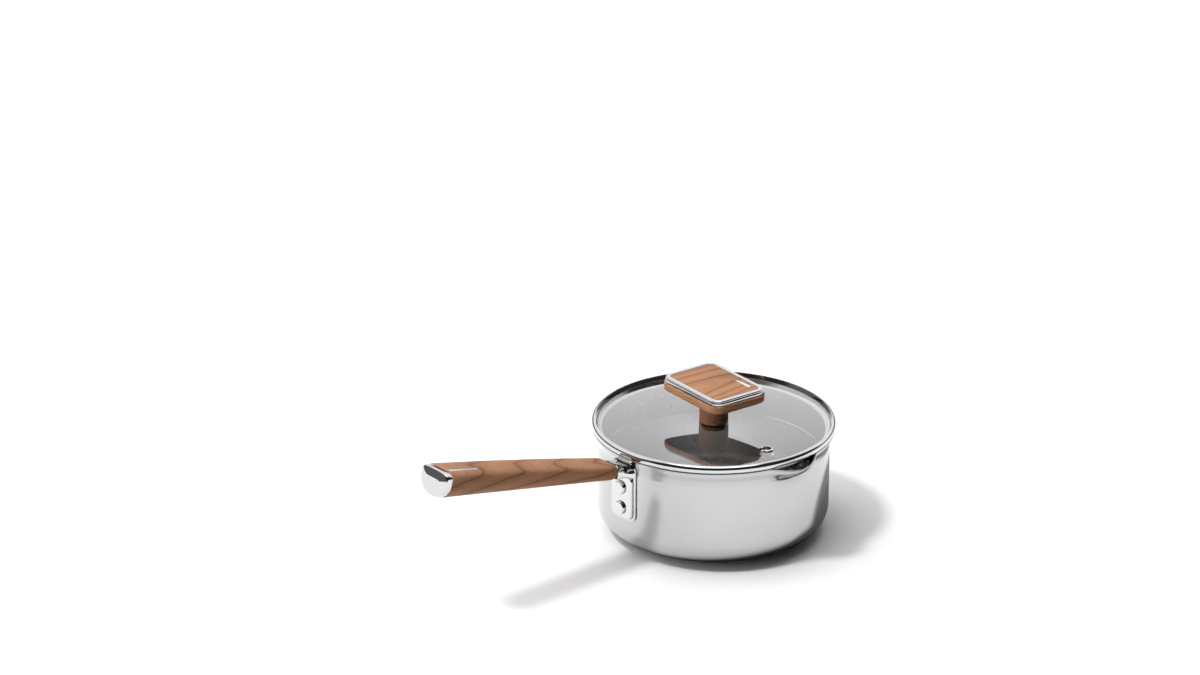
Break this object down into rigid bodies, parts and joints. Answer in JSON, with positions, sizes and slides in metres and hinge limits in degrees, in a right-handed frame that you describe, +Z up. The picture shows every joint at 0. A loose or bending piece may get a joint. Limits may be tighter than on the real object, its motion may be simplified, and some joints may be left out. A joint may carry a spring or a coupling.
{
  "type": "saucepan with glass lid",
  "caption": "Round steel saucepan with pouring spouts, a long wood-look handle and a flat glass lid whose perforated skirt strains.",
  "frame": {"origin": "centre of the base's underside, on the pot's axis", "axes": "+Z up along the pot's axis, +X along the handle away from the pot, the two pouring spouts on +Y and -Y"},
  "size_m": [0.3288, 0.1866, 0.1126],
  "materials": {
    "polished_steel": "mirror-polished stainless steel",
    "satin_steel": "satin stainless steel",
    "chrome_trim": "bright chromed trim",
    "aluminium_core": "plain aluminium, hidden in the base",
    "wood_grip": "satin wood grain",
    "clear_glass": "clear tempered glass",
    "brass_insert": "plain brass",
    "black_rubber": "matt black rubber",
    "clear_seal": "pale translucent silicone"
  },
  "bodies": {
    "pan": {"pot_shell": "polished_steel", "base_core": "aluminium_core", "base_cap": "satin_steel", "handle_bracket": "polished_steel", "rivet_upper": "polished_steel", "rivet_lower": "polished_steel", "handle_tang": "satin_steel", "handle_screw": "satin_steel", "handle_grip": "wood_grip", "handle_inlay_strip": "chrome_trim", "handle_end_cap": "chrome_trim"},
    "lid": {"lid_ring": "polished_steel", "glass_seal": "clear_seal", "lid_glass": "clear_glass", "vent_grommet": "polished_steel", "knob_body": "wood_grip", "knob_lower_trim": "chrome_trim", "knob_top_frame": "chrome_trim", "knob_top_inlay": "wood_grip", "knob_inlay_strip": "chrome_trim", "knob_insert": "brass_insert", "knob_seal_washer": "black_rubber", "knob_lower_gasket": "black_rubber", "knob_steel_washer": "satin_steel", "knob_screw": "satin_steel"}
  },
  "joints": [
    {"name": "lid_lift", "type": "slide", "parent": "pan", "child": "lid", "axis": [0, 0, 1], "range_m": [0, 0.12]}
  ]
}
